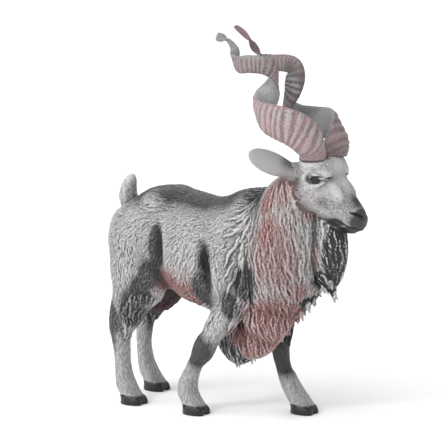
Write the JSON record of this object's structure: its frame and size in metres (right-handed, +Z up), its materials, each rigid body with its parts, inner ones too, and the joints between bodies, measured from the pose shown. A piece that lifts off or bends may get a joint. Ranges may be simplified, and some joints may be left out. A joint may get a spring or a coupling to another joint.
{
  "type": "painted goat figurine",
  "caption": "Standing wild goat figurine with corkscrew horns, a long breast ruff and beard, moulded in plastic and hand painted.",
  "frame": {"origin": "on the ground, under the middle of the figurine's bounding box", "axes": "+X the way the goat faces, +Y its left side, +Z up"},
  "size_m": [0.0832, 0.0304, 0.1079],
  "materials": {
    "coat": "moulded short fur, pale grey paint over a charcoal wash",
    "ruff": "moulded long hair, red-brown wash with pale dry-brushed strands",
    "beard": "moulded long hair, charcoal with pale dry-brushed strands",
    "horn": "ribbed horn, grey with a mauve wash between the ribs"
  },
  "bodies": {
    "root": {"torso": "coat", "neck_ruff": "ruff", "beard": "beard", "head": "coat", "horn_right": "horn", "horn_left": "horn", "ear_right": "coat", "ear_left": "coat", "tail": "coat", "foreleg_right": "coat", "foreleg_left": "coat", "hindleg_right": "coat", "hindleg_left": "coat"}
  },
  "joints": []
}
